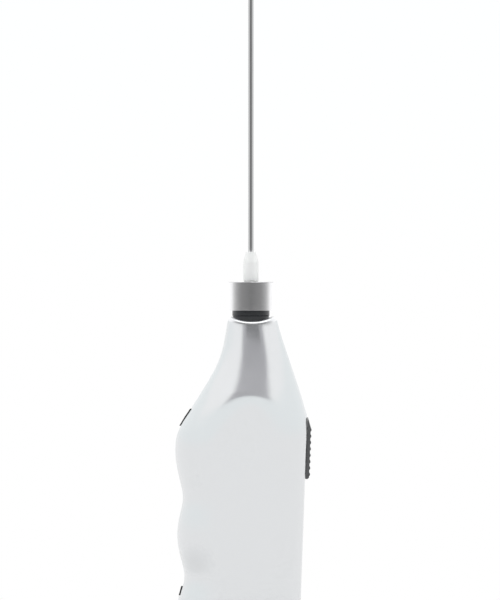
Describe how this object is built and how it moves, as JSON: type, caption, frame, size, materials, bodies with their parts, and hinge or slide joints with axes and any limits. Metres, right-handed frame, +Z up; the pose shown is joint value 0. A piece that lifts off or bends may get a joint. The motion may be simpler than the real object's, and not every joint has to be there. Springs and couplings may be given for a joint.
{
  "type": "milk frother",
  "caption": "Battery-driven hand whisk: a flat-sided bottle-shaped handle with a thumb slide switch, a finger grip, a stepped neck and a long thin shaft that ends in a coiled ring.",
  "frame": {"origin": "on the flat base face of the battery cover, directly under the whisk axis", "axes": "+Z up the whisk axis to the coiled ring, +X out of the thumb switch, +Y across the flat sides"},
  "size_m": [0.0449, 0.0344, 0.2261],
  "materials": {
    "silver_paint": "satin silver metallic paint on moulded plastic",
    "satin_aluminium": "satin turned aluminium",
    "stainless_steel": "drawn and polished stainless wire and rod",
    "zinc_steel": "zinc plated steel",
    "black_plastic": "moulded black plastic",
    "dark_plastic": "ribbed dark grey plastic",
    "black_rubber": "soft black rubber",
    "white_nylon": "white nylon",
    "sintered_bronze": "oil-filled sintered bronze",
    "spring_brass": "stamped spring brass",
    "copper": "bare and enamelled copper",
    "cell_jacket": "printed jacket round a steel cell, with no text",
    "ferrite": "dark ferrite"
  },
  "bodies": {
    "handle": {"right_shell": "silver_paint", "left_shell": "silver_paint", "housing_screws": "zinc_steel", "finger_grip": "black_rubber", "neck_collar": "black_plastic", "neck_bush": "sintered_bronze", "nose_cap": "satin_aluminium", "shaft_seal": "black_rubber", "chassis": "black_plastic", "positive_contact": "spring_brass", "negative_contact": "spring_brass", "switch_contact_upper": "spring_brass", "battery_upright": "cell_jacket", "battery_inverted": "cell_jacket", "motor_can": "zinc_steel", "motor_bushes": "sintered_bronze", "motor_end_cap": "white_nylon", "motor_brushes": "spring_brass", "motor_magnets": "ferrite"},
    "rotor": {"motor_shaft": "stainless_steel", "armature_core": "zinc_steel", "armature_windings": "copper", "commutator": "copper", "whisk_hub": "white_nylon", "whisk_shaft": "stainless_steel", "whisk_ring": "stainless_steel", "whisk_coil": "stainless_steel"},
    "switch": {"thumb_slider": "dark_plastic", "switch_bridge": "copper"},
    "cover": {"battery_cover": "silver_paint", "cover_contact_plate": "spring_brass", "battery_springs": "zinc_steel"}
  },
  "joints": [
    {"name": "whisk_spin", "type": "hinge", "parent": "handle", "child": "rotor", "pos_m": [0, 0, 0], "axis": [0, 0, 1], "continuous": true},
    {"name": "switch_slide", "type": "slide", "parent": "handle", "child": "switch", "axis": [0.0348, 0, 0.9994], "range_m": [0, 0.0035]},
    {"name": "cover_pull", "type": "slide", "parent": "handle", "child": "cover", "axis": [0, 0, -1], "range_m": [0, 0.06]}
  ]
}
